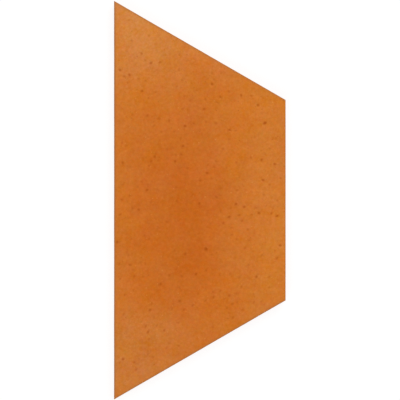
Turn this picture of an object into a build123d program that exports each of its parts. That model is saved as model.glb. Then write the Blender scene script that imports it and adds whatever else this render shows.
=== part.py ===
from build123d import *

import os
from math import radians, tan

# A half-hexagon clinker floor tile: one extruded and fired piece, lying flat, wearing face up.
# Lengths are in millimetres. X runs from the long side to the short side, Y along them, Z up.
# The origin is at the middle of the tile's box, on the bed face.

# Outline
long_side = 296.0  # the hexagon's corner-to-corner line, at -X
tile_width = 127.4  # from the long side to the short side
end_angle = 60.0  # between the long side and each slanted end, in degrees

# Section
thickness = 11.0  # from the bed face to the wearing face
edge_radius = 1.0  # rounding of the arrises round both faces

# Dovetail grooves that key the bed face, running the whole way between the slanted ends
groove_width = 8.0  # at the mouth, in the bed face
groove_depth = 1.5
groove_undercut = 15.0  # lean of a groove's flanks, in degrees off upright, widening inwards
land_width = 6.0  # flat left between two grooves
edge_land = 9.0  # least flat left beside the outermost grooves

# How far apart the grooves lie, and how many fit between the edge lands
groove_pitch = groove_width + land_width
groove_count = int((tile_width - 2 * edge_land + land_width) / groove_pitch)

# A groove's section: how wide it is at its root, and the angle between its mouth and its flanks
groove_root_width = groove_width + 2 * groove_depth * tan(radians(groove_undercut))
flank_angle = 90 + groove_undercut

with BuildPart() as floor_tile:
    with BuildSketch():
        Trapezoid(long_side, tile_width, end_angle, rotation=-90)
    extrude(amount=thickness)
    fillet(floor_tile.faces().filter_by(Axis.Z).edges(), edge_radius)
    with BuildSketch(Plane.XZ):
        with GridLocations(groove_pitch, groove_pitch, groove_count, 1):
            Trapezoid(groove_root_width, groove_depth, flank_angle, align=(Align.CENTER, Align.MIN))
    extrude(amount=long_side / 2, both=True, mode=Mode.SUBTRACT)

floor_tile.part.label = "floor_tile"

os.makedirs("parts", exist_ok=True)
export_step(floor_tile.part, "parts/floor_tile.step")
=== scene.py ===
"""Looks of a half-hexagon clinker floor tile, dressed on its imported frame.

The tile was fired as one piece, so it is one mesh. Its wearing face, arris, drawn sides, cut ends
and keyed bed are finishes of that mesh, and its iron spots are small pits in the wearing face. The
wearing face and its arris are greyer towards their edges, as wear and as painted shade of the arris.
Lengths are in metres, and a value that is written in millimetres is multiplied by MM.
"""

import logging
import math
import random
from abc import ABC, abstractmethod
from collections.abc import Iterable
from dataclasses import dataclass, field
from enum import Enum, IntEnum
from typing import NamedTuple

import bmesh
import bpy
from mathutils import Matrix, Vector, kdtree, noise


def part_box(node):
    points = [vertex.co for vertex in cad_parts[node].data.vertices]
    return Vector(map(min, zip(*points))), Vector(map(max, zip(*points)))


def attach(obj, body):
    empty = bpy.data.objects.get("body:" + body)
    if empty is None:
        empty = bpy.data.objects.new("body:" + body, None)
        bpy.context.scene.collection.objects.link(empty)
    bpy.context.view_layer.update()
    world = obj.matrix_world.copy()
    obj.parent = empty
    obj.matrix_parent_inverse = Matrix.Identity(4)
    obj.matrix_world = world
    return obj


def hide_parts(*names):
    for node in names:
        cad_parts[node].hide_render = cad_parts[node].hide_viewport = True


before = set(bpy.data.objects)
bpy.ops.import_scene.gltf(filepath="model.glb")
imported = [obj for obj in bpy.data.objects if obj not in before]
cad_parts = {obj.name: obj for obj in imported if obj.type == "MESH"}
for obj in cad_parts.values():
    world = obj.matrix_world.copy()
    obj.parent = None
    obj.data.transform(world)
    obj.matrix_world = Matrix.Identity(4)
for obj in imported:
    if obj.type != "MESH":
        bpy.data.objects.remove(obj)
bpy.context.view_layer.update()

LOG = logging.getLogger("clinker_tile")
MM = 0.001
CAD_NODE = "floor_tile"
CAD_BODY = "root"
SEED = 21

# Mesh attributes: how much iron a point of the wearing face holds, and how near it lies to an edge with
# wear and painted edge shade
IRON = "iron"
RUB_AND_EDGE_SHADE = "rub_and_shade"

Tree = bpy.types.NodeTree
Socket = bpy.types.NodeSocket
Sockets = bpy.types.bpy_prop_collection
Value = Socket | float | tuple[float, ...]
Colour = tuple[float, float, float, float]
Triple = tuple[float, float, float]
Pair = tuple[float, float]

WHITE: Colour = (1.0, 1.0, 1.0, 1.0)

# A noise goes from 0 to 1: its middle, and the range that nearly all of it lies in
MIDDLE: Triple = (0.5, 0.5, 0.5)
MIDTONES: Pair = (0.3, 0.7)


def linear(red: float, green: float, blue: float) -> Colour:
    """Turns a colour as it shows on screen into the linear one that a shader takes, by the sRGB curve.

    Args:
        red: Red from 0 to 255.
        green: Green from 0 to 255.
        blue: Blue from 0 to 255.

    Returns:
        The linear colour with an alpha of 1.
    """
    shares = [channel / 255 for channel in (red, green, blue)]
    r, g, b = [s / 12.92 if s <= 0.04045 else ((s + 0.055) / 1.055) ** 2.4 for s in shares]
    return r, g, b, 1.0


class Face(IntEnum):
    """Material slots of the tile's mesh, one for each way that a face was made."""

    FIRED = 0
    ARRIS = 1
    DRAWN = 2
    CUT = 3
    BED = 4


# Shader building


def empty_tree(owner: bpy.types.Material | bpy.types.World) -> Tree:
    """Turns on the nodes of a material or a world, and clears them.

    Args:
        owner: The material or the world.

    Returns:
        Its empty tree.
    """
    owner.use_nodes = True
    owner.node_tree.nodes.clear()
    return owner.node_tree


class NodeSheet:
    """Lays nodes out in one shader tree and joins them."""

    def __init__(self, tree: Tree) -> None:
        """Keeps the tree that the nodes go into."""
        self.tree = tree

    def add(self, kind: str, **settings: object) -> bpy.types.Node:
        """Adds a node.

        Args:
            kind: Blender's name for the type of node.
            **settings: Attributes of the node to set.

        Returns:
            The new node.
        """
        node = self.tree.nodes.new(kind)
        for name, value in settings.items():
            setattr(node, name, value)
        return node

    def feed(self, socket: Socket, value: Value) -> None:
        """Joins an input to an output, or sets it to a plain value.

        Args:
            socket: The input.
            value: The output or the plain value.
        """
        if isinstance(value, Socket):
            self.tree.links.new(value, socket)
        else:
            socket.default_value = value

    def fill(self, sockets: Iterable[Socket], *values: Value) -> None:
        """Feeds inputs in their order."""
        for socket, value in zip(sockets, values):
            self.feed(socket, value)

    def wire(self, node: bpy.types.Node, **values: Value) -> Sockets:
        """Feeds a node's inputs by name.

        Args:
            node: The node.
            **values: What its inputs get.

        Returns:
            The node's outputs.
        """
        for name, value in values.items():
            self.feed(node.inputs[name], value)
        return node.outputs

    def use(self, group: Tree, **values: Value) -> Sockets:
        """Places a node group, feeds its inputs by name and gives its outputs."""
        return self.wire(self.add("ShaderNodeGroup", node_tree=group), **values)

    def upright(self, vector: Value) -> Socket:
        """Gives how far up a vector reaches."""
        return self.wire(self.add("ShaderNodeSeparateXYZ"), Vector=vector)["Z"]

    def math(self, operation: str, *terms: Value) -> Socket:
        """Adds a Math node.

        Args:
            operation: Blender's name for the sum.
            *terms: Its numbers, in order.

        Returns:
            The result.
        """
        node = self.add("ShaderNodeMath", operation=operation)
        self.fill(node.inputs, *terms)
        return node.outputs[0]

    def vector(self, operation: str, *terms: Value) -> Socket:
        """Adds a Vector Math node.

        Args:
            operation: Blender's name for the sum.
            *terms: Its vectors, in order, and the factor of a SCALE.

        Returns:
            The result, which is a number for a LENGTH and a vector otherwise.
        """
        node = self.add("ShaderNodeVectorMath", operation=operation)
        sockets = (node.inputs[0], node.inputs["Scale"]) if operation == "SCALE" else node.inputs
        self.fill(sockets, *terms)
        return node.outputs["Value" if operation == "LENGTH" else "Vector"]

    def noise(self, place: Value, scale: Value, detail: float, rough: float = 0.5) -> Sockets:
        """Adds a Noise Texture.

        Args:
            place: The point that it is read at.
            scale: How many features there are in a metre.
            detail: How many finer octaves it has.
            rough: How strong each octave is, as a share of the one before.

        Returns:
            Its outputs: Fac is a number about 0.5, and Color is three such numbers.
        """
        node = self.add("ShaderNodeTexNoise")
        return self.wire(node, Vector=place, Scale=scale, Detail=detail, Roughness=rough)

    def tinted(self, lots: Value, strays: Pair) -> Socket:
        """Gives red, green and blue numbers that stray a little from each other.

        Args:
            lots: The colour of a noise, whose three numbers have nothing in common.
            strays: How far green strays from red and blue from green, from 0 to 1.

        Returns:
            The three numbers as a vector, each about 0.5.
        """
        red, *others = self.wire(self.add("ShaderNodeSeparateColor"), Color=lots)
        tones = [red]
        for lot, stray in zip(others, strays):
            apart = self.math("SUBTRACT", lot, tones[-1])
            tones.append(self.math("MULTIPLY_ADD", apart, stray, tones[-1]))
        joined = self.add("ShaderNodeCombineXYZ")
        self.fill(joined.inputs, *tones)
        return joined.outputs[0]

    def spread(self, value: Value, source: Pair, target: Pair) -> Socket:
        """Maps a number smoothly from one range to another and keeps it there.

        Args:
            value: The number.
            source: The range that it comes from.
            target: The range that it goes to.

        Returns:
            The mapped number.
        """
        node = self.add("ShaderNodeMapRange", interpolation_type="SMOOTHSTEP")
        self.fill(node.inputs, value, *source, *target)
        return node.outputs[0]

    def blend(self, share: Value, under: Value, over: Value) -> Socket:
        """Lays one colour over another.

        Args:
            share: How much of it to lay, from 0 to 1.
            under: The colour beneath.
            over: The colour laid over it.

        Returns:
            The mixed colour.
        """
        node = self.add("ShaderNodeMix", data_type="RGBA")
        # The node has sockets for every type of data, and these are the ones for colours
        share_in, under_in, over_in, mixed = node.inputs[0], node.inputs[6], node.inputs[7], node.outputs[2]
        self.fill((share_in, under_in, over_in), share, under, over)
        return mixed

    def mix(self, share: Value, first: Socket, second: Socket) -> Socket:
        """Mixes two shaders.

        Args:
            share: How much of the second one shows, from 0 to 1.
            first: The one shader.
            second: The other.

        Returns:
            The mixed shader.
        """
        node = self.add("ShaderNodeMixShader")
        self.fill(node.inputs, share, first, second)
        return node.outputs[0]


class Kind(Enum):
    """What a socket of a node group carries, with Blender's name for its type."""

    VECTOR = "NodeSocketVector"
    COLOUR = "NodeSocketColor"
    NUMBER = "NodeSocketFloat"


class GroupSheet(NodeSheet):
    """A node group under construction."""

    def __init__(self, name: str, takes: dict[str, Kind], gives: dict[str, Kind]) -> None:
        """Starts the group.

        Args:
            name: The group's name.
            takes: What each input carries, by name.
            gives: What each output carries, by name.
        """
        super().__init__(bpy.data.node_groups.new(name, "ShaderNodeTree"))
        for side, sockets in (("INPUT", takes), ("OUTPUT", gives)):
            for title, kind in sockets.items():
                self.tree.interface.new_socket(title, in_out=side, socket_type=kind.value)
        self.taken = self.add("NodeGroupInput").outputs
        self.given = self.add("NodeGroupOutput")

    def give(self, values: dict[str, Value]) -> Tree:
        """Feeds the group's outputs by name, and gives the group."""
        self.wire(self.given, **values)
        return self.tree


@dataclass(frozen=True)
class Flush:
    """A blotch of another colour that the fire left on the tile.

    Attributes:
        centre: Where it lies along X and Y, in millimetres.
        reach: How far it reaches from there along X and Y, in millimetres.
        colour: Its colour in the middle.
    """

    centre: Pair
    reach: Pair
    colour: Colour


@dataclass(frozen=True)
class KilnColour:
    """The colour of the fired clay: redder in the tile's middle and paler towards its tips.

    Attributes:
        margin: The colour where no blotch lies.
        flushes: The blotches, each laid over those before it.
    """

    margin: Colour = linear(209, 120, 44)
    flushes: tuple[Flush, ...] = (
        Flush(centre=(0, -15), reach=(110, 170), colour=linear(200, 103, 32)),
        Flush(centre=(65, 0), reach=(75, 260), colour=linear(209, 122, 47)),
        Flush(centre=(-55, 140), reach=(120, 80), colour=linear(213, 133, 64)),
        Flush(centre=(-65, -120), reach=(100, 60), colour=linear(204, 121, 54)),
    )


class Effects:
    """Effects of the clay and the kiln that several finishes share, each a node group built once."""

    def __init__(self, kiln: KilnColour) -> None:
        """Builds the node groups.

        Args:
            kiln: The fired colours of the tile.
        """
        self.kiln = self._kiln(kiln, self._flush())
        self.grain = self._grain()
        self.mottle = self._mottle()
        self.specks = self._specks()
        self.drag = self._drag()
        self.rub_and_shade = self._rub_and_edge_shade()

    @staticmethod
    def _flush() -> Tree:
        """Makes a soft blotch that the fire left, with a wandering outline.

        Returns:
            A group whose Mask is 1 in the blotch's middle and 0 past its reach.
        """
        takes = {"Place": Kind.VECTOR, "Centre": Kind.VECTOR, "Reach": Kind.VECTOR}
        sheet = GroupSheet("kiln_flush", takes, {"Mask": Kind.NUMBER})
        wander = 22 * MM
        wanders_per_metre = 24.0
        place = sheet.taken["Place"]
        sway = sheet.noise(place, wanders_per_metre, detail=2.0)["Color"]
        sway = sheet.vector("SCALE", sheet.vector("SUBTRACT", sway, MIDDLE), wander)
        away = sheet.vector("SUBTRACT", sheet.vector("ADD", place, sway), sheet.taken["Centre"])
        distance = sheet.vector("LENGTH", sheet.vector("DIVIDE", away, sheet.taken["Reach"]))
        return sheet.give({"Mask": sheet.spread(distance, (0.0, 1.0), (1.0, 0.0))})

    @staticmethod
    def _kiln(kiln: KilnColour, flush: Tree) -> Tree:
        """Lays the blotches of the fire over each other.

        Args:
            kiln: The fired colours.
            flush: The group of one blotch.

        Returns:
            A group that gives the fired Colour at a place on the tile.
        """
        sheet = GroupSheet("kiln_colour", {"Place": Kind.VECTOR}, {"Colour": Kind.COLOUR})
        any_height = 1.0
        colour: Value = kiln.margin
        for blotch in kiln.flushes:
            centre = (blotch.centre[0] * MM, blotch.centre[1] * MM, 0.0)
            reach = (blotch.reach[0] * MM, blotch.reach[1] * MM, any_height)
            mask = sheet.use(flush, Place=sheet.taken["Place"], Centre=centre, Reach=reach)["Mask"]
            colour = sheet.blend(mask, colour, blotch.colour)
        return sheet.give({"Colour": colour})

    @staticmethod
    def _grain() -> Tree:
        """Makes the grain of fired clay: broad clouds and a fine grit, both of uneven hue.

        Returns:
            A group with a Cloud, a Grit and the red, green and blue tone of each, all about 0.5.
        """
        takes = {"Place": Kind.VECTOR, "Size": Kind.NUMBER}
        gives = {
            "Cloud": Kind.NUMBER,
            "Cloud tone": Kind.VECTOR,
            "Grit": Kind.NUMBER,
            "Grit tone": Kind.VECTOR,
        }
        sheet = GroupSheet("clay_grain", takes, gives)
        clouds_per_grain = 0.09
        cloud_strays = (0.62, 0.5)
        grit_strays = (0.52, 0.38)
        grains = sheet.math("DIVIDE", 1.0, sheet.taken["Size"])
        clouds = sheet.math("MULTIPLY", grains, clouds_per_grain)
        cloud = sheet.noise(sheet.taken["Place"], clouds, detail=3.0, rough=0.9)
        grit = sheet.noise(sheet.taken["Place"], grains, detail=2.0, rough=0.7)
        return sheet.give({
            "Cloud": cloud["Fac"],
            "Cloud tone": sheet.tinted(cloud["Color"], cloud_strays),
            "Grit": grit["Fac"],
            "Grit tone": sheet.tinted(grit["Color"], grit_strays),
        })

    @staticmethod
    def _mottle() -> Tree:
        """Mottles a colour: where the clay is lighter it is also paler.

        Returns:
            A group that takes a Colour, the tones of the clay's clouds and grit and how far each of
            them changes red, green and blue, and gives a Colour.
        """
        takes = {
            "Colour": Kind.COLOUR,
            "Cloud tone": Kind.VECTOR,
            "Cloud range": Kind.VECTOR,
            "Grit tone": Kind.VECTOR,
            "Grit range": Kind.VECTOR,
        }
        sheet = GroupSheet("clay_mottle", takes, {"Colour": Kind.COLOUR})
        unchanged = (1.0, 1.0, 1.0)
        darkest = (0.1, 0.1, 0.1)
        tone: Value = unchanged
        for layer in ("Grit", "Cloud"):
            shift = sheet.vector("SUBTRACT", sheet.taken[f"{layer} tone"], MIDDLE)
            tone = sheet.vector("MULTIPLY_ADD", shift, sheet.taken[f"{layer} range"], tone)
        tone = sheet.vector("MAXIMUM", tone, darkest)
        return sheet.give({"Colour": sheet.vector("MULTIPLY", sheet.taken["Colour"], tone)})

    @staticmethod
    def _specks() -> Tree:
        """Scatters round specks of many sizes, such as iron dust or pinholes.

        Returns:
            A group whose Mask is 1 on a speck and 0 off it.
        """
        takes = {"Place": Kind.VECTOR, "Spacing": Kind.NUMBER, "Radius": Kind.NUMBER}
        sheet = GroupSheet("specks", takes, {"Mask": Kind.NUMBER})
        core = 0.3
        spacing = sheet.taken["Spacing"]
        per_metre = sheet.math("DIVIDE", 1.0, spacing)
        cells = sheet.wire(sheet.add("ShaderNodeTexVoronoi"), Vector=sheet.taken["Place"], Scale=per_metre)
        distance = sheet.math("MULTIPLY", cells["Distance"], spacing)
        lot = sheet.wire(sheet.add("ShaderNodeSeparateColor"), Color=cells["Color"])["Red"]
        radius = sheet.math("MULTIPLY", sheet.taken["Radius"], lot)
        outward = sheet.math("DIVIDE", distance, radius)
        return sheet.give({"Mask": sheet.spread(outward, (core, 1.0), (1.0, 0.0))})

    @staticmethod
    def _drag() -> Tree:
        """Draws the lines that a die or a cutter leaves in wet clay.

        Returns:
            A group whose Height is a number about 0.5.
        """
        takes = {"Place": Kind.VECTOR, "Lines": Kind.VECTOR}
        sheet = GroupSheet("drag_lines", takes, {"Height": Kind.NUMBER})
        drawn = sheet.vector("MULTIPLY", sheet.taken["Place"], sheet.taken["Lines"])
        return sheet.give({"Height": sheet.noise(drawn, scale=1.0, detail=3.0)["Fac"]})

    @staticmethod
    def _rub_and_edge_shade() -> Tree:
        """Greys the edges of the wearing face, most on the arris and less further in: wear, and painted
        shade of the arris.

        Returns:
            A group whose Mask goes from about 1 at an edge to 0, uneven as the clay's Cloud is.
        """
        takes = {"Nearness": Kind.NUMBER, "Cloud": Kind.NUMBER}
        sheet = GroupSheet("edge_rub_and_shade", takes, {"Mask": Kind.NUMBER})
        fall = 1.2
        least = 0.7
        patchy = sheet.spread(sheet.taken["Cloud"], MIDTONES, (least, 1.0))
        rubbed_and_shaded = sheet.math("POWER", sheet.taken["Nearness"], fall)
        return sheet.give({"Mask": sheet.math("MULTIPLY", rubbed_and_shaded, patchy)})


# The finishes


@dataclass(frozen=True)
class Clay:
    """How the clay of a finish is mottled.

    Attributes:
        grain: Size of its grain.
        grit: How far the grit changes red, green and blue.
        clouds: How far the clouds do.
    """

    grain: float
    grit: Triple
    clouds: Triple


@dataclass(frozen=True)
class Specks:
    """Specks that are strewn in the clay.

    Attributes:
        spacing: How far apart they lie.
        radius: Radius of the largest.
        share: How much of a speck shows, from 0 to 1.
    """

    spacing: float
    radius: float
    share: float


class Surface(NamedTuple):
    """What changes over a face.

    Attributes:
        colour: Its colour.
        roughness: Its roughness, from 0 to 1.
        height: Its relief, in which 1 is as high as the finish is deep.
    """

    colour: Socket
    roughness: Socket
    height: Socket


class ClaySheet(NodeSheet):
    """The nodes of one of the tile's materials, with the effects of clay and kiln at hand."""

    def __init__(self, tree: Tree, effects: Effects) -> None:
        """Starts with the point on the piece, in the tile's own frame.

        Args:
            tree: The material's empty tree.
            effects: The node groups that the finishes share.
        """
        super().__init__(tree)
        self.effects = effects
        self.place = self.add("ShaderNodeTexCoord").outputs["Object"]

    def attribute(self, name: str) -> Socket:
        """Gives the number that an attribute of the mesh holds."""
        return self.add("ShaderNodeAttribute", attribute_name=name).outputs["Fac"]

    def grain(self, size: float) -> Sockets:
        """Gives the clay's clouds and grit, for a grain of that size."""
        return self.use(self.effects.grain, Place=self.place, Size=size)

    def specks(self, specks: Specks) -> Socket:
        """Strews specks.

        Args:
            specks: Their sizes.

        Returns:
            How much of them shows: their share in the middle of a speck, and 0 between them.
        """
        size = {"Spacing": specks.spacing, "Radius": specks.radius}
        mask = self.use(self.effects.specks, Place=self.place, **size)["Mask"]
        return self.math("MULTIPLY", mask, specks.share)

    def fired(self, clay: Clay, grain: Sockets) -> Socket:
        """Gives the colour that the fire left, mottled by the clay's grain.

        Args:
            clay: How the clay is mottled.
            grain: Its clouds and grit.

        Returns:
            The mottled colour.
        """
        even = self.use(self.effects.kiln, Place=self.place)["Colour"]
        values: dict[str, Value] = {"Colour": even}
        for layer, far in (("Cloud", clay.clouds), ("Grit", clay.grit)):
            values[f"{layer} tone"] = grain[f"{layer} tone"]
            values[f"{layer} range"] = far
        return self.use(self.effects.mottle, **values)["Colour"]


class Finish(ABC):
    """How one kind of face looks.

    Attributes:
        name: Its material's name.
        specular: How much it shines, where plain plastic has 0.5.
        depth: How deep its relief is.
        clay: How its clay is mottled.
    """

    name: str
    specular: float
    depth: float
    clay: Clay

    def material(self, effects: Effects) -> bpy.types.Material:
        """Builds the finish.

        Args:
            effects: The node groups that the finishes share.

        Returns:
            The new material.
        """
        made = bpy.data.materials.new(self.name)
        sheet = ClaySheet(empty_tree(made), effects)
        surface = self.surface(sheet)
        bump = sheet.wire(sheet.add("ShaderNodeBump"), Distance=self.depth, Height=surface.height)[0]
        values = {
            "Base Color": surface.colour,
            "Roughness": surface.roughness,
            "Specular IOR Level": self.specular,
            "Normal": bump,
        }
        shader = sheet.wire(sheet.add("ShaderNodeBsdfPrincipled"), **values)[0]
        sheet.wire(sheet.add("ShaderNodeOutputMaterial"), Surface=shader)
        return made

    @abstractmethod
    def surface(self, sheet: ClaySheet) -> Surface:
        """Works out what changes over the face.

        Args:
            sheet: The material's nodes.

        Returns:
            Its colour, roughness and relief.
        """


@dataclass(frozen=True)
class FiredSkin(Finish):
    """Clay that lay open to the fire, greyer towards its edges: wear, and painted shade of the arris.

    Attributes:
        rubbed_and_shaded: The greyer colour of the edges, for wear and for painted shade of the arris.
    """

    clay: Clay = Clay(grain=2.0 * MM, grit=(0.32, 0.78, 2.8), clouds=(0.25, 0.64, 3.2))
    # Painted shade: this edge colour stands in for the shade of the arris as well as for wear
    rubbed_and_shaded: Colour = linear(172, 111, 60)

    def skin(self, sheet: ClaySheet, grain: Sockets) -> Socket:
        """Gives the colour of the clay, greyer at its edges for wear and for painted shade of the arris.

        Args:
            sheet: The material's nodes.
            grain: The clay's clouds and grit.

        Returns:
            The colour.
        """
        near = sheet.attribute(RUB_AND_EDGE_SHADE)
        # Painted shade: the greyer edge stands in for the shade of the arris as well as for wear
        rub_and_shade = sheet.use(sheet.effects.rub_and_shade, Nearness=near, Cloud=grain["Cloud"])["Mask"]
        return sheet.blend(rub_and_shade, sheet.fired(self.clay, grain), self.rubbed_and_shaded)


@dataclass(frozen=True)
class FiredFace(FiredSkin):
    """The wearing face: mottled satin clay with grog and iron in it.

    Attributes:
        roughness: How rough it is in the low and in the high grit.
        grog: Colour of the crushed fired clay that shows as pale grains.
        grog_specks: Those grains.
        dust: Colour of the fine iron between the spots.
        dust_specks: The specks of that iron.
        iron: Colour of an iron spot's middle.
        iron_patches: How unevenly a spot melted, from 0 for even.
        iron_gloss: How much smoother a spot's middle is than the clay.
        pinholes: Pinholes, whose share is their depth in the relief.
    """

    name: str = "fired_face"
    specular: float = 0.04
    depth: float = 0.08 * MM
    roughness: Pair = (0.62, 0.48)
    grog: Colour = linear(226, 148, 76)
    grog_specks: Specks = Specks(spacing=3.9 * MM, radius=0.8 * MM, share=0.4)
    dust: Colour = linear(166, 84, 18)
    dust_specks: Specks = Specks(spacing=4.2 * MM, radius=0.7 * MM, share=0.5)
    iron: Colour = linear(166, 73, 0)
    iron_patches: float = 0.8
    iron_gloss: float = 0.15
    pinholes: Specks = Specks(spacing=2.6 * MM, radius=0.28 * MM, share=0.8)

    def surface(self, sheet: ClaySheet) -> Surface:
        """Works out what changes over the wearing face.

        Args:
            sheet: The material's nodes.

        Returns:
            Its colour, roughness and relief.
        """
        grain = sheet.grain(self.clay.grain)
        grit = grain["Grit"]
        patches = sheet.math("MULTIPLY_ADD", grit, self.iron_patches, 1.0 - self.iron_patches / 2)
        melted = sheet.math("MULTIPLY", sheet.attribute(IRON), patches)
        colour = self.skin(sheet, grain)
        colour = sheet.blend(sheet.specks(self.grog_specks), colour, self.grog)
        colour = sheet.blend(sheet.specks(self.dust_specks), colour, self.dust)
        colour = sheet.blend(melted, colour, self.iron)
        roughness = sheet.spread(grit, MIDTONES, self.roughness)
        roughness = sheet.math("SUBTRACT", roughness, sheet.math("MULTIPLY", melted, self.iron_gloss))
        return Surface(colour, roughness, sheet.math("SUBTRACT", grit, sheet.specks(self.pinholes)))


@dataclass(frozen=True)
class RubbedShadedArris(FiredSkin):
    """The rounded edge of the wearing face, which is dull and greyer: wear and painted shade of the arris.

    Attributes:
        roughness: How rough it is in the low and in the high grit.
    """

    name: str = "rubbed_shaded_arris"
    specular: float = 0.03
    depth: float = 0.1 * MM
    roughness: Pair = (0.85, 0.7)

    def surface(self, sheet: ClaySheet) -> Surface:
        """Works out what changes over the arris.

        Args:
            sheet: The material's nodes.

        Returns:
            Its colour, roughness and relief.
        """
        grain = sheet.grain(self.clay.grain)
        roughness = sheet.spread(grain["Grit"], MIDTONES, self.roughness)
        return Surface(self.skin(sheet, grain), roughness, grain["Grit"])


@dataclass(frozen=True)
class TornClay(Finish):
    """Clay that a die or a cutter tore, with its marks and with grog and iron in it.

    Attributes:
        lines: How many marks there are in a metre along X, Y and Z.
        bared: How much grog the marks lay bare, from 0 to 1.
        grog: Colour of the crushed fired clay that shows as grains.
        grog_specks: Those grains.
        iron: Colour of the iron.
        iron_specks: The specks of iron.
        grog_rise: How high the grains stand in the relief, for the share of them that shows.
    """

    name: str
    lines: Triple
    specular: float
    depth: float
    clay: Clay
    bared: float
    grog: Colour
    grog_specks: Specks
    iron: Colour
    iron_specks: Specks
    grog_rise: float = 1.25

    def torn(self, sheet: ClaySheet, grain: Sockets, grit: Socket) -> tuple[Socket, Socket]:
        """Gives the look of the torn clay.

        Args:
            sheet: The material's nodes.
            grain: The clouds and the grit that mottle it.
            grit: The grit of its relief.

        Returns:
            Its colour and its relief.
        """
        ridges = (0.5, 0.8)
        marks = sheet.use(sheet.effects.drag, Place=sheet.place, Lines=self.lines)["Height"]
        grog = sheet.specks(self.grog_specks)
        colour = sheet.fired(self.clay, grain)
        colour = sheet.blend(sheet.spread(marks, ridges, (0.0, self.bared)), colour, self.grog)
        colour = sheet.blend(grog, colour, self.grog)
        colour = sheet.blend(sheet.specks(self.iron_specks), colour, self.iron)
        height = sheet.math("MULTIPLY_ADD", grog, self.grog_rise, sheet.math("ADD", marks, grit))
        return colour, height


@dataclass(frozen=True)
class BareSide(TornClay):
    """A side of the tile, bare as the die or the cutter left it.

    Attributes:
        roughness: How rough it is in the low and in the high grit.
    """

    specular: float = 0.1
    depth: float = 0.1 * MM
    clay: Clay = Clay(grain=0.9 * MM, grit=(0.6, 0.8, 1.6), clouds=(0.3, 0.45, 0.7))
    roughness: Pair = (0.82, 0.66)
    bared: float = 0.25
    grog: Colour = linear(224, 150, 84)
    grog_specks: Specks = Specks(spacing=2.2 * MM, radius=0.7 * MM, share=0.4)
    iron: Colour = linear(136, 66, 18)
    iron_specks: Specks = Specks(spacing=4.6 * MM, radius=0.9 * MM, share=0.75)

    def surface(self, sheet: ClaySheet) -> Surface:
        """Works out what changes over the side.

        Args:
            sheet: The material's nodes.

        Returns:
            Its colour, roughness and relief.
        """
        grain = sheet.grain(self.clay.grain)
        colour, height = self.torn(sheet, grain, grain["Grit"])
        return Surface(colour, sheet.spread(grain["Grit"], MIDTONES, self.roughness), height)


@dataclass(frozen=True)
class KeyedBed(TornClay):
    """The bed face and its grooves: raw clay with a haze of kiln wash on the lands.

    Attributes:
        roughness: How rough it is without the haze and under a thick one.
        wash: Colour of the kiln wash.
        wash_grain: Size of the grain of the wash.
        wash_shares: How much of the wash shows where it is thin and where it is thick.
        wash_heights: Between which heights over the bed face it fades.
        wash_in_grooves: How much of it is left above those heights, from 0 to 1.
    """

    name: str = "keyed_bed"
    lines: Triple = (900.0, 16.0, 900.0)
    specular: float = 0.08
    depth: float = 0.12 * MM
    clay: Clay = Clay(grain=1.2 * MM, grit=(0.6, 0.8, 1.6), clouds=(0.3, 0.45, 0.7))
    roughness: Pair = (0.76, 0.92)
    bared: float = 0.2
    grog: Colour = linear(220, 150, 88)
    grog_specks: Specks = Specks(spacing=2.4 * MM, radius=0.75 * MM, share=0.4)
    iron: Colour = linear(128, 64, 22)
    iron_specks: Specks = Specks(spacing=4.6 * MM, radius=0.9 * MM, share=0.7)
    wash: Colour = linear(222, 172, 122)
    wash_grain: float = 0.48 * MM
    wash_shares: Pair = (0.12, 0.34)
    wash_heights: Pair = (0.1 * MM, 0.7 * MM)
    wash_in_grooves: float = 0.1

    def surface(self, sheet: ClaySheet) -> Surface:
        """Works out what changes over the bed face and in its grooves.

        Args:
            sheet: The material's nodes.

        Returns:
            Their colour, roughness and relief.
        """
        thin_to_thick = (0.3, 0.75)
        none_to_thick = (0.0, 0.4)
        fine = sheet.grain(self.wash_grain)
        colour, height = self.torn(sheet, sheet.grain(self.clay.grain), fine["Grit"])
        on_land = sheet.spread(sheet.upright(sheet.place), self.wash_heights, (1.0, self.wash_in_grooves))
        haze = sheet.math("MULTIPLY", on_land, sheet.spread(fine["Cloud"], thin_to_thick, self.wash_shares))
        roughness = sheet.spread(haze, none_to_thick, self.roughness)
        return Surface(sheet.blend(haze, colour, self.wash), roughness, height)


# Where the photograph shows the tile and its spots


@dataclass(frozen=True)
class PhotoFrame:
    """How the photograph frames the tile: it looks straight down on the wearing face.

    Attributes:
        side_px: The photograph's width and height.
        tile_centre_px: Where the middle of the tile's box lies in it, across and down.
        long_side_px: How long the tile's long side is in it.
    """

    side_px: float = 400.0
    tile_centre_px: Pair = (199.85, 200.15)
    long_side_px: float = 399.2

    def across(self, long_side: float) -> float:
        """Gives how wide the view is on the wearing face, for a long side of that length."""
        return self.side_px * long_side / self.long_side_px

    def on_tile(self, spot_px: Pair, long_side: float) -> Vector:
        """Finds a pixel on the tile.

        Args:
            spot_px: The pixel, across and down.
            long_side: The tile's long side.

        Returns:
            Its place along X and Y.
        """
        right = spot_px[0] - self.tile_centre_px[0]
        down = spot_px[1] - self.tile_centre_px[1]
        return Vector((right, -down)) * (long_side / self.long_side_px)


class SpotGrade(Enum):
    """How strong an iron spot is, as its radius, the depth of its pit and its share of iron."""

    DARK = (2.00 * MM, 0.25 * MM, 1.00)
    BOLD = (1.66 * MM, 0.20 * MM, 0.80)
    PLAIN = (1.66 * MM, 0.15 * MM, 0.72)
    SLIGHT = (1.62 * MM, 0.10 * MM, 0.56)
    FAINT = (1.50 * MM, 0.05 * MM, 0.40)

    def __init__(self, radius: float, depth: float, iron: float) -> None:
        """Names the sizes of the grade.

        Args:
            radius: Radius of a spot that isn't drawn out.
            depth: Depth of its pit.
            iron: How much iron its middle holds, from 0 to 1.
        """
        self.radius = radius
        self.depth = depth
        self.iron = iron


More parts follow.
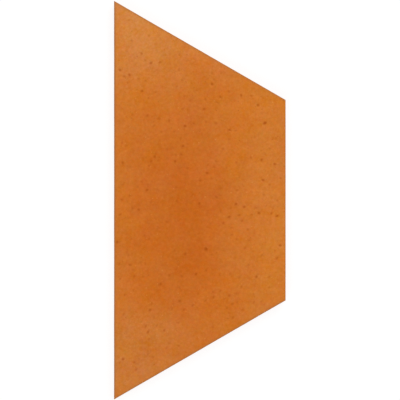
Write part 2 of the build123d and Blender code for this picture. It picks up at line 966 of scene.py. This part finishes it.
# The plainest spots of the photograph, read off it from its top down
DARK_SPOTS_PX = ((265, 123), (206, 249))
BOLD_SPOTS_PX = (
    (151, 63), (120, 70), (212, 84), (142, 91), (258, 105), (185, 126),
    (183, 146), (207, 173), (263, 180), (147, 190), (236, 204), (259, 213),
    (277, 216), (229, 217), (117, 242), (196, 274), (150, 310), (123, 359),
)
SEEN_SPOTS_PX = {
    SpotGrade.DARK: DARK_SPOTS_PX,
    SpotGrade.BOLD: BOLD_SPOTS_PX,
}


# The tile


class Rounded(Enum):
    """What a rounding takes off, with Blender's name for it."""

    EDGES = "EDGES"
    CORNERS = "VERTICES"


def round_off(
    bm: bmesh.types.BMesh,
    what: Rounded,
    taken: list[bmesh.types.BMEdge] | list[bmesh.types.BMVert],
    size: float,
    segments: int,
) -> None:
    """Rounds edges of a solid, or corners of a flat outline.

    Args:
        bm: The mesh.
        what: Whether it is edges or corners.
        taken: The edges or the corners.
        size: How far from them the rounding starts.
        segments: How many steps the rounding has.
    """
    bmesh.ops.bevel(
        bm, geom=taken, offset=size, offset_type="OFFSET", segments=segments, profile=0.5,
        affect=what.value, material=-1,
    )


def scene_object(bm: bmesh.types.BMesh, name: str) -> bpy.types.Object:
    """Turns a bmesh into an object of the scene, at the origin.

    Args:
        bm: The bmesh, which is freed.
        name: The object's name.

    Returns:
        The new object.
    """
    mesh = bpy.data.meshes.new(name)
    bm.to_mesh(mesh)
    bm.free()
    made = bpy.data.objects.new(name, mesh)
    bpy.context.scene.collection.objects.link(made)
    return made


def points_of(drawn: dict[str, list]) -> list[bmesh.types.BMVert]:
    """Gives the points among the geometry that an extrusion made."""
    return [item for item in drawn["geom"] if isinstance(item, bmesh.types.BMVert)]


@dataclass(frozen=True)
class KeyGrooves:
    """The dovetail grooves that key the bed face.

    Attributes:
        width: Width at the mouth.
        depth: Depth.
        undercut: Lean of the flanks off upright, widening inwards, in degrees.
        pitch: Distance from one groove to the next.
        count: How many there are.
        mouth_round: Rounding of the mouth's edges.
        root_round: Rounding of the corners at the root.
        segments: How many steps each rounding has.
        past_ends: How long a groove is cut, as a share of the tile's long side.
    """

    width: float = 8.0 * MM
    depth: float = 1.5 * MM
    undercut: float = 15.0
    pitch: float = 14.0 * MM
    count: int = 8
    mouth_round: float = 0.35 * MM
    root_round: float = 0.4 * MM
    segments: int = 3
    past_ends: float = 1.2

    def cutter(self, long_side: float) -> bpy.types.Object:
        """Makes a solid of the space that the grooves take.

        Args:
            long_side: The tile's long side.

        Returns:
            An object with a bar for each groove, from past one end of the tile to past the other.
        """
        length = self.past_ends * long_side
        bm = bmesh.new()
        for number in range(self.count):
            self._section(bm, (number - (self.count - 1) / 2) * self.pitch, -length / 2)
        drawn = bmesh.ops.extrude_face_region(bm, geom=bm.faces[:])
        bmesh.ops.translate(bm, vec=(0.0, length, 0.0), verts=points_of(drawn))
        bmesh.ops.recalc_face_normals(bm, faces=bm.faces)
        return scene_object(bm, "groove_cutter")

    def _section(self, bm: bmesh.types.BMesh, middle: float, end: float) -> None:
        """Adds the section of one groove, with a brim below the bed face that rounds its mouth.

        Args:
            bm: The mesh that it is added to.
            middle: The groove's place along X.
            end: Where the section stands along Y.
        """
        brim = 1.0 * MM
        under_bed = -0.03 * MM
        mouth = self.width / 2
        root = mouth + self.depth * math.tan(math.radians(self.undercut))
        half = [(mouth + brim, -brim), (mouth + brim, under_bed), (mouth, under_bed), (root, self.depth)]
        outline = half + [(-x, z) for x, z in reversed(half)]
        corners = [bm.verts.new((middle + x, end, z)) for x, z in outline]
        bm.faces.new(corners)
        _, _, right_mouth, right_root, left_root, left_mouth, _, _ = corners
        round_off(bm, Rounded.CORNERS, [right_mouth, left_mouth], self.mouth_round, self.segments)
        round_off(bm, Rounded.CORNERS, [right_root, left_root], self.root_round, self.segments)


@dataclass(frozen=True)
class Spot:
    """An iron spot on the wearing face.

    Attributes:
        at: Its place along X and Y.
        grade: How strong it is.
        turn: Which way it is drawn out, in radians from X.
        stretch: How many times it is drawn out that way, and drawn in across it.
    """

    at: Vector
    grade: SpotGrade
    turn: float
    stretch: float

    def share(self, point: Vector) -> float:
        """Gives how much of the spot lies at a point.

        Args:
            point: The point, along X and Y.

        Returns:
            A share that falls smoothly from 1 in the spot's middle to 0 at its rim.
        """
        away = Matrix.Rotation(-self.turn, 2) @ (point - self.at)
        distance = math.hypot(away.x / self.stretch, away.y * self.stretch) / self.grade.radius
        inward = max(0.0, 1.0 - distance)
        return inward * inward * (3.0 - 2.0 * inward)


@dataclass(frozen=True)
class IronSpots:
    """The iron spots of the wearing face: the photograph's plainest, and others strewn between.

    Attributes:
        photo: How the photograph frames the tile.
        strewn: How many spots of a grade are strewn between the others.
        apart: The least distance from a strewn spot to another, or to a long or short side.
        from_ends: The least distance from a strewn spot to a slanted end, along Y.
        most_stretch: How many times a spot is drawn out, at most.
    """

    photo: PhotoFrame
    strewn: tuple[tuple[SpotGrade, int], ...] = (
        (SpotGrade.PLAIN, 19),
        (SpotGrade.SLIGHT, 33),
        (SpotGrade.FAINT, 130),
    )
    apart: float = 3.6 * MM
    from_ends: float = 7.2 * MM
    most_stretch: float = 1.3

    def scatter(self, tile: "ClinkerTile", luck: random.Random) -> list[Spot]:
        """Gives every spot of the tile.

        Args:
            tile: The tile.
            luck: Where the random places come from.

        Returns:
            The spots, the strongest first.
        """
        spots = [
            self._spot(self.photo.on_tile(pixel, tile.long_side), grade, luck)
            for grade, pixels in SEEN_SPOTS_PX.items()
            for pixel in pixels
        ]
        for grade, count in self.strewn:
            wanted = len(spots) + count
            while len(spots) < wanted:
                across = luck.uniform(tile.low.x + self.apart, tile.high.x - self.apart)
                along = luck.uniform(tile.low.y, tile.high.y)
                at = Vector((across, along))
                clear = all((at - other.at).length > self.apart for other in spots)
                if clear and abs(along) < tile.half_length(across) - self.from_ends:
                    spots.append(self._spot(at, grade, luck))
        return spots

    def _spot(self, at: Vector, grade: SpotGrade, luck: random.Random) -> Spot:
        """Makes a spot at a place, drawn out at random."""
        return Spot(at, grade, luck.uniform(0.0, math.pi), luck.uniform(1.0, self.most_stretch))

    def press(self, bm: bmesh.types.BMesh, spots: list[Spot]) -> None:
        """Presses the spots into the wearing face, and marks how much iron its points hold.

        Args:
            bm: The tile's mesh, whose wearing face is a fine grid.
            spots: The spots.
        """
        iron = bm.verts.layers.float.new(IRON)
        face = [v for v in bm.verts if all(f.material_index == Face.FIRED for f in v.link_faces)]
        tree = kdtree.KDTree(len(face))
        for number, vert in enumerate(face):
            tree.insert((vert.co.x, vert.co.y, 0.0), number)
        tree.balance()
        for spot in spots:
            middle = (spot.at.x, spot.at.y, 0.0)
            face[tree.find(middle)[1]].co.xy = spot.at
            for _, number, _ in tree.find_range(middle, spot.grade.radius * self.most_stretch):
                vert = face[number]
                share = spot.share(vert.co.xy)
                vert.co.z -= spot.grade.depth * share
                vert[iron] = max(vert[iron], spot.grade.iron * share)


@dataclass(frozen=True)
class ClinkerTile:
    """The tile: a tapered blank with rounded edges, keyed below and spotted above.

    Attributes:
        low: Lowest corner of its box.
        high: Highest corner of its box.
        grooves: The grooves in its bed face.
        end_angle: Between the long side and each slanted end, in degrees.
        arris: Rounding of the edges round both faces.
        arris_segments: How many steps that rounding has.
        corner: Rounding of the upright corners.
        corner_segments: How many steps that rounding has.
        rub_and_shade_reach: How far in from its edges the wearing face is darkened, for wear and for
            painted edge shade.
        rub_and_shade_shares: How much the long side, the short side and the slanted ends are darkened, as
            wear and as painted shade of the light falling unevenly on the edges.
        row: How far apart the rows of the blank's mesh lie, at most.
        wave: How deep the broad hollows of its faces are.
        waves_per_metre: How many such hollows there are in a metre.
        level: How upright a flat face's normal stands, at least, where 1 is plumb.
        crease: Between faces that are shaded with a sharp edge, at least, in degrees.
    """

    low: Vector
    high: Vector
    grooves: KeyGrooves = field(default_factory=KeyGrooves)
    end_angle: float = 60.0
    arris: float = 1.0 * MM
    arris_segments: int = 4
    corner: float = 0.2 * MM
    corner_segments: int = 3
    rub_and_shade_reach: float = 2.4 * MM
    # Uneven by side: painted shade of the light falling unevenly on the edges, as well as wear
    rub_and_shade_shares: Triple = (1.0, 0.25, 0.8)
    row: float = 0.85 * MM
    wave: float = 0.1 * MM
    waves_per_metre: float = 46.0
    level: float = 0.999
    crease: float = 35.0

    @property
    def width(self) -> float:
        """The distance from the long side to the short side."""
        return self.high.x - self.low.x

    @property
    def long_side(self) -> float:
        """The length of the long side."""
        return self.high.y - self.low.y

    @property
    def thickness(self) -> float:
        """The distance from the bed face to the wearing face."""
        return self.high.z - self.low.z

    def half_length(self, across: float) -> float:
        """Gives half the tile's length at a place along X."""
        return self.long_side / 2 - (across - self.low.x) / math.tan(math.radians(self.end_angle))

    def from_end(self, point: Vector) -> float:
        """Gives how far a point lies from the nearest slanted end."""
        return (self.half_length(point.x) - abs(point.y)) * math.sin(math.radians(self.end_angle))

    def from_edges(self, point: Vector) -> Triple:
        """Gives how far a point lies from the long side, the short side and the nearest slanted end."""
        return point.x - self.low.x, self.high.x - point.x, self.from_end(point)

    def build(self, spots: IronSpots) -> bpy.types.Object:
        """Makes the tile's mesh.

        Args:
            spots: The iron spots of its wearing face.

        Returns:
            The tile, which has no materials yet.
        """
        scattered = spots.scatter(self, random.Random(SEED))
        bm = self._blank()
        self._divide(bm)
        self._round_corners(bm)
        keyed = self._key(scene_object(bm, "tile_blank"))
        bm = bmesh.new()
        bm.from_mesh(keyed)
        bpy.data.meshes.remove(keyed)
        self._sort_faces(bm)
        self._rub_and_edge_shade(bm)
        self._slump(bm)
        spots.press(bm, scattered)
        open_edges = sum(not edge.is_manifold for edge in bm.edges)
        LOG.info("%s: %d iron spots", CAD_NODE, len(scattered))
        LOG.info("%s: %d faces, %d open edges", CAD_NODE, len(bm.faces), open_edges)
        piece = scene_object(bm, "clinker_tile")
        piece.data.set_sharp_from_angle(angle=math.radians(self.crease))
        return piece

    def dress(self, piece: bpy.types.Object, effects: Effects) -> None:
        """Gives the tile its finishes, and its place in the frame.

        Args:
            piece: The tile.
            effects: The node groups that the finishes share.
        """
        finishes = {
            Face.FIRED: FiredFace(),
            Face.ARRIS: RubbedShadedArris(),
            Face.DRAWN: BareSide("drawn_side", lines=(900.0, 30.0, 900.0)),
            Face.CUT: BareSide("cut_end", lines=(900.0, 900.0, 160.0)),
            Face.BED: KeyedBed(),
        }
        for kind in Face:
            piece.data.materials.append(finishes[kind].material(effects))
        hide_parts(CAD_NODE)
        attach(piece, CAD_BODY)

    def _blank(self) -> bmesh.types.BMesh:
        """Makes the tapered blank.

        Returns:
            A mesh with rounded edges and sharp upright corners.
        """
        bm = bmesh.new()
        bmesh.ops.create_cube(bm, size=1.0)
        bmesh.ops.scale(bm, vec=(self.width, self.long_side, self.thickness), verts=bm.verts)
        bmesh.ops.translate(bm, vec=(self.low + self.high) / 2, verts=bm.verts)
        short = [v for v in bm.verts if v.co.x > 0]
        taper = self.half_length(self.high.x) / self.half_length(self.low.x)
        bmesh.ops.scale(bm, vec=(1.0, taper, 1.0), verts=short)
        rims = [edge for edge in bm.edges if not self._runs_along(edge, 2, self.arris)]
        round_off(bm, Rounded.EDGES, rims, self.arris, self.arris_segments)
        return bm

    def _divide(self, bm: bmesh.types.BMesh) -> None:
        """Divides the blank into rows along X, Y and Z, all but its bed face.

        Args:
            bm: The blank.
        """
        shortest = 2 * self.arris
        for axis in range(3):
            ring = [edge for edge in bm.edges if self._runs_along(edge, axis, shortest)]
            longest = max(edge.calc_length() for edge in ring)
            rows = math.ceil(longest / self.row)
            bmesh.ops.subdivide_edgering(bm, edges=ring, cuts=rows - 1, interp_mode="LINEAR")
        bm.normal_update()
        bed = [face for face in bm.faces if face.normal.z < -self.level]
        bmesh.ops.dissolve_faces(bm, faces=bed)

    def _round_corners(self, bm: bmesh.types.BMesh) -> None:
        """Rounds the upright corners, from the bed face up to the wearing face.

        Args:
            bm: The blank.
        """
        for across, angle in ((self.low.x, self.end_angle), (self.high.x, 180.0 - self.end_angle)):
            chain = [edge for edge in bm.edges if all(self._on_corner(v, across) for v in edge.verts)]
            reach = self.corner / math.tan(math.radians(angle / 2))
            round_off(bm, Rounded.EDGES, chain, reach, self.corner_segments)

    def _on_corner(self, vert: bmesh.types.BMVert, across: float) -> bool:
        """Tells whether a point is on the line of an upright corner.

        Args:
            vert: The point.
            across: Where the corner's long or short side lies along X.

        Returns:
            Whether it is as near to that side as to a slanted end, within the rounding of the edges.
        """
        nearly = 0.002 * MM
        from_side = abs(vert.co.x - across)
        return from_side < self.arris + nearly and abs(from_side - self.from_end(vert.co)) < nearly

    @staticmethod
    def _runs_along(edge: bmesh.types.BMEdge, axis: int, shortest: float) -> bool:
        """Tells whether an edge is long and mostly follows an axis."""
        run = [abs(end - start) for start, end in zip(edge.verts[0].co, edge.verts[1].co)]
        return edge.calc_length() > shortest and run[axis] == max(run)

    def _key(self, blank: bpy.types.Object) -> bpy.types.Mesh:
        """Cuts the grooves into the bed face.

        Args:
            blank: The blank, which goes.

        Returns:
            The keyed tile's mesh.
        """
        cutter = self.grooves.cutter(self.long_side)
        cut = blank.modifiers.new("grooves", "BOOLEAN")
        cut.operation = "DIFFERENCE"
        cut.solver = "EXACT"
        cut.object = cutter
        keyed = bpy.data.meshes.new_from_object(blank.evaluated_get(bpy.context.evaluated_depsgraph_get()))
        for spent in (blank, cutter):
            mesh = spent.data
            bpy.data.objects.remove(spent)
            bpy.data.meshes.remove(mesh)
        return keyed

    def _sort_faces(self, bm: bmesh.types.BMesh) -> None:
        """Gives each face its material slot, and smooth shading unless it lies flat on the bed.

        Args:
            bm: The keyed tile.
        """
        for face in bm.faces:
            face.material_index = self._kind(face)
            face.smooth = face.normal.z > -self.level

    def _kind(self, face: bmesh.types.BMFace) -> Face:
        """Tells which way a face was made.

        Args:
            face: A face of the keyed tile.

        Returns:
            Its material slot.
        """
        facing_up = 0.4
        facing_end = 0.6
        facing_down = -0.5
        side_band = 1.2 * self.arris
        centre = face.calc_center_median()
        if centre.z > (self.low.z + self.high.z) / 2 and face.normal.z > facing_up:
            return Face.FIRED if face.normal.z > self.level else Face.ARRIS
        if abs(face.normal.y) > facing_end:
            return Face.CUT
        if abs(centre.x) > self.width / 2 - side_band and face.normal.z > facing_down:
            return Face.DRAWN
        return Face.BED

    def _rub_and_edge_shade(self, bm: bmesh.types.BMesh) -> None:
        """Marks how near each point lies to a darkened edge, for wear and for painted edge shade, down to 0
        past that band.

        Args:
            bm: The keyed tile.
        """
        rub_and_shade = bm.verts.layers.float.new(RUB_AND_EDGE_SHADE)
        for vert in bm.verts:
            away = zip(self.rub_and_shade_shares, self.from_edges(vert.co))
            vert[rub_and_shade] = max(share * max(0.0, 1.0 - far / self.rub_and_shade_reach) for share, far in away)

    def _slump(self, bm: bmesh.types.BMesh) -> None:
        """Hollows the faces a little, as drying and firing do, but not the bed face.

        Args:
            bm: The keyed tile.
        """
        full_from = self.thickness / 2
        for vert in bm.verts:
            share = min(1.0, (vert.co.z - self.low.z) / full_from)
            hollow = 0.5 + 0.5 * noise.noise(vert.co * self.waves_per_metre)
            vert.co -= vert.normal * (self.wave * share * hollow)


# The studio


@dataclass(frozen=True)
class SoftBox:
    """A soft lamp that points at the tile.

    Attributes:
        name: Its name.
        azimuth: The way that it stands from the tile, in degrees from +X towards +Y.
        elevation: How high it stands, in degrees.
        watts: Its power.
        distance: How far from the tile it stands.
        side: Its width and height.
    """

    name: str
    azimuth: float
    elevation: float
    watts: float
    distance: float = 1.2
    side: float = 0.8

    def hang(self, target: Vector) -> None:
        """Puts the lamp up.

        Args:
            target: The point that it faces.
        """
        lamp = bpy.data.lights.new(self.name, "AREA")
        lamp.energy = self.watts
        lamp.size = self.side
        placed = bpy.data.objects.new(self.name, lamp)
        turn = math.radians(self.azimuth)
        rise = math.radians(self.elevation)
        level = math.cos(rise)
        way = Vector((level * math.cos(turn), level * math.sin(turn), math.sin(rise)))
        placed.location = target + way * self.distance
        placed.rotation_euler = way.to_track_quat("Z", "Y").to_euler()
        placed.visible_camera = False
        bpy.context.scene.collection.objects.link(placed)


@dataclass(frozen=True)
class Studio:
    """A plain white floor, soft light, and a camera straight above the tile.

    Attributes:
        photo: How the photograph frames the tile.
        tile: The tile.
        lens: Focal length of the camera, in millimetres.
        ambient: How strongly the world lights the tile, where 1 is white.
        shadow: How much of the shadow on the floor shows, from 0 to 1.
        glow: How bright the floor looks, where 1 is white.
        paint: The floor's own colour.
        shade: The painted shade that the floor shows to the eye in the gaps under the tile.
        lamps: The lamps.
    """

    photo: PhotoFrame
    tile: ClinkerTile
    lens: float = 120.0
    ambient: float = 0.45
    shadow: float = 0.2
    glow: float = 1.06
    paint: Colour = (0.95, 0.95, 0.95, 1.0)
    # Painted shade: a dark glow in place of the shadow in the gaps under the tile
    shade: Colour = linear(52, 36, 28)
    lamps: tuple[SoftBox, ...] = (
        SoftBox("key_light", azimuth=60.0, elevation=48.0, watts=6.5),
        SoftBox("fill_light", azimuth=-120.0, elevation=48.0, watts=4.5),
        SoftBox("under_light", azimuth=-20.0, elevation=-55.0, watts=7.0),
    )

    def build(self) -> None:
        """Builds the studio round the tile."""
        bpy.context.scene.view_settings.view_transform = "Standard"
        target = Vector((0.0, 0.0, self.tile.high.z))
        for lamp in self.lamps:
            lamp.hang(target)
        self._sky()
        self._floor()
        self._camera()

    def _camera(self) -> None:
        """Hangs the camera where the photograph was taken from."""
        lens = bpy.data.cameras.new("photo_camera")
        lens.lens = self.lens
        camera = bpy.data.objects.new("photo_camera", lens)
        middle_px = self.photo.side_px / 2
        aim = self.photo.on_tile((middle_px, middle_px), self.tile.long_side)
        above = self.photo.across(self.tile.long_side) * self.lens / lens.sensor_width
        camera.location = (aim.x, aim.y, self.tile.high.z + above)
        bpy.context.scene.collection.objects.link(camera)
        bpy.context.scene.camera = camera

    def _sky(self) -> None:
        """Makes a world that looks white and lights the tile evenly."""
        world = bpy.data.worlds.new("white_studio")
        sheet = NodeSheet(empty_tree(world))
        strength = sheet.math("MULTIPLY_ADD", self._seen(sheet), 1.0 - self.ambient, self.ambient)
        sky = sheet.wire(sheet.add("ShaderNodeBackground"), Color=WHITE, Strength=strength)[0]
        sheet.wire(sheet.add("ShaderNodeOutputWorld"), Surface=sky)
        bpy.context.scene.world = world

    @staticmethod
    def _seen(sheet: NodeSheet) -> Socket:
        """Tells rays that show the background, straight or by reflection, from the rest.

        Args:
            sheet: The nodes of the world or the floor.

        Returns:
            1 on those rays and 0 on the rest.
        """
        path = sheet.add("ShaderNodeLightPath").outputs
        mirrored = sheet.math("MAXIMUM", path["Is Glossy Ray"], path["Is Transmission Ray"])
        return sheet.math("MAXIMUM", path["Is Camera Ray"], mirrored)

    def _floor(self) -> None:
        """Lays a white floor, with painted shade under the tile that lets light from below reach its bed.
        """
        inset = 0.4 * MM
        below = 0.05 * MM
        times_wider = 30.0
        tile = self.tile
        bm = bmesh.new()
        bmesh.ops.create_grid(bm, x_segments=1, y_segments=1, size=1.0)
        [shaded] = bm.faces
        for vert in bm.verts:
            across = math.copysign(tile.width / 2 - inset, vert.co.x)
            along = tile.half_length(across) - 2 * inset
            vert.co = (across, math.copysign(along, vert.co.y), tile.low.z - below)
        brim = bmesh.ops.extrude_edge_only(bm, edges=bm.edges[:])
        bmesh.ops.scale(bm, vec=(times_wider, times_wider, 1.0), verts=points_of(brim))
        shaded.material_index = 1
        bmesh.ops.recalc_face_normals(bm, faces=bm.faces)
        if shaded.normal.z < 0:
            bmesh.ops.reverse_faces(bm, faces=bm.faces)
        floor = scene_object(bm, "white_floor")
        for finish in (self._floor_paint(), self._floor_painted_shade()):
            floor.data.materials.append(finish)

    def _floor_paint(self) -> bpy.types.Material:
        """Makes a white that glows to the eye and keeps a soft shadow, and can't be seen from below.

        Returns:
            The new material.
        """
        made = bpy.data.materials.new("white_floor")
        sheet = NodeSheet(empty_tree(made))
        matt = sheet.wire(sheet.add("ShaderNodeBsdfDiffuse"), Color=self.paint)[0]
        glow = sheet.wire(sheet.add("ShaderNodeEmission"), Color=WHITE, Strength=self.glow)[0]
        top = sheet.mix(sheet.math("MULTIPLY", self._seen(sheet), 1.0 - self.shadow), matt, glow)
        clear = sheet.add("ShaderNodeBsdfTransparent").outputs[0]
        from_below = sheet.add("ShaderNodeNewGeometry").outputs["Backfacing"]
        sheet.wire(sheet.add("ShaderNodeOutputMaterial"), Surface=sheet.mix(from_below, top, clear))
        return made

    def _floor_painted_shade(self) -> bpy.types.Material:
        """Makes the painted shade of the gaps under the tile: a dark glow to eyes from above, clear to
        light and to eyes from below.

        Returns:
            The new material.
        """
        made = bpy.data.materials.new("floor_painted_shade")
        sheet = NodeSheet(empty_tree(made))
        dark = sheet.wire(sheet.add("ShaderNodeEmission"), Color=self.shade)[0]
        clear = sheet.add("ShaderNodeBsdfTransparent").outputs[0]
        from_above = sheet.math("SUBTRACT", 1.0, sheet.add("ShaderNodeNewGeometry").outputs["Backfacing"])
        eye = sheet.add("ShaderNodeLightPath").outputs["Is Camera Ray"]
        surface = sheet.mix(sheet.math("MULTIPLY", from_above, eye), clear, dark)
        sheet.wire(sheet.add("ShaderNodeOutputMaterial"), Surface=surface)
        return made


def main() -> None:
    """Builds the tile and the studio round it."""
    logging.basicConfig(level=logging.INFO, format="%(name)s: %(message)s")
    photo = PhotoFrame()
    low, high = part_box(CAD_NODE)
    tile = ClinkerTile(Vector(low), Vector(high))
    piece = tile.build(IronSpots(photo))
    tile.dress(piece, Effects(KilnColour()))
    LOG.info("%s: dressed in %d finishes", CAD_NODE, len(piece.data.materials))
    studio = Studio(photo, tile)
    studio.build()
    LOG.info("studio: a floor, a camera and %d lamps", len(studio.lamps))


if __name__ == "__main__":
    main()
